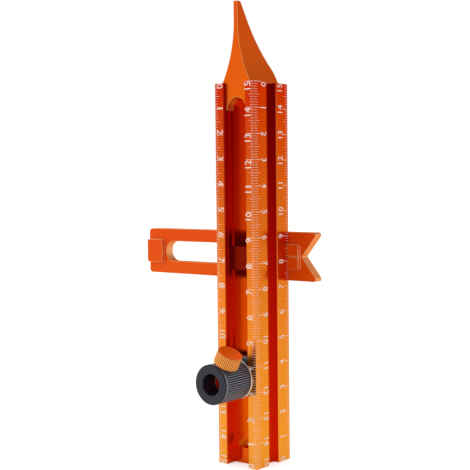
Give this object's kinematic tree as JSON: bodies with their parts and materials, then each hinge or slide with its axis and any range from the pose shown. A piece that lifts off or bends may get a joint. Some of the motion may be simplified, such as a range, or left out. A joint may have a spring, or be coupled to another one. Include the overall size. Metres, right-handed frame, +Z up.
{
  "type": "marking ruler",
  "caption": "Upright metal marking ruler with a scribing beak, a sliding pencil holder and a sliding notched cross plate.",
  "frame": {"origin": "middle of the beam's lower end face, on which the ruler stands", "axes": "+Z up the beam to the beak, -Y out of the front face that the pencil holder is on, +X towards the notched end of the cross plate"},
  "size_m": [0.0891, 0.0531, 0.1813],
  "materials": {
    "beam_orange": "glossy orange anodised",
    "nose_orange": "blasted orange anodised",
    "plate_orange": "satin orange anodised",
    "block_orange": "satin orange anodised",
    "tube_orange": "satin orange anodised",
    "thumb_orange": "satin orange anodised",
    "barrel_black": "satin black anodised",
    "knob_black": "satin black anodised",
    "washer_steel": "bright turned",
    "shoe_steel": "dull milled",
    "steel": "bright turned"
  },
  "bodies": {
    "beam": {"beam": "beam_orange", "nose": "nose_orange", "nose_screw": "steel"},
    "pencil_slider": {"clamp_tube": "tube_orange", "guide_shoe": "shoe_steel"},
    "barrel_seat": {"barrel_washer": "washer_steel"},
    "barrel": {"pencil_barrel": "barrel_black"},
    "thumb_stud": {"thumb_stud": "steel"},
    "thumb_head": {"thumb_head": "thumb_orange"},
    "plate_carriage": {"guide_block": "block_orange"},
    "cross_plate": {"cross_plate": "plate_orange"},
    "clamp_screw": {"clamp_screw": "steel", "clamp_washer": "washer_steel"},
    "clamp_knob": {"clamp_knob": "knob_black"}
  },
  "joints": [
    {"name": "pencil_slide", "type": "slide", "parent": "beam", "child": "pencil_slider", "axis": [0, 0, 1], "range_m": [-0.0238, 0.0335]},
    {"name": "barrel_back_off", "type": "slide", "parent": "pencil_slider", "child": "barrel_seat", "axis": [0, -1, 0], "range_m": [0, 0.0005]},
    {"name": "barrel_turn", "type": "hinge", "parent": "barrel_seat", "child": "barrel", "pos_m": [0, -0.0116, 0.0347], "axis": [0, -1, 0], "range_deg": [-0.5, 180.5]},
    {"name": "thumb_travel", "type": "slide", "parent": "barrel", "child": "thumb_stud", "axis": [0.4617, 0, 0.887], "range_m": [-0.0007, 0.0021]},
    {"name": "thumb_turn", "type": "hinge", "parent": "thumb_stud", "child": "thumb_head", "pos_m": [0, -0.0226, 0.0347], "axis": [0.4617, 0, 0.887], "range_deg": [-361, 1081]},
    {"name": "carriage_slide", "type": "slide", "parent": "beam", "child": "plate_carriage", "axis": [0, 0, 1], "range_m": [-0.0335, 0.0532]},
    {"name": "plate_slide", "type": "slide", "parent": "plate_carriage", "child": "cross_plate", "axis": [1, 0, 0], "range_m": [0, 0.0478]},
    {"name": "clamp_travel", "type": "slide", "parent": "plate_carriage", "child": "clamp_screw", "axis": [0, 1, 0], "range_m": [0, 0.0014]},
    {"name": "knob_turn", "type": "hinge", "parent": "clamp_screw", "child": "clamp_knob", "pos_m": [0, 0.01605, 0.08165], "axis": [0, 1, 0], "range_deg": [-0.5, 631]}
  ],
  "couplings": [
    {"joint": "barrel_turn", "follows": "barrel_back_off", "rad_per_m": 6283.2},
    {"joint": "thumb_turn", "follows": "thumb_travel", "rad_per_m": 8976},
    {"joint": "knob_turn", "follows": "clamp_travel", "rad_per_m": 7854}
  ]
}
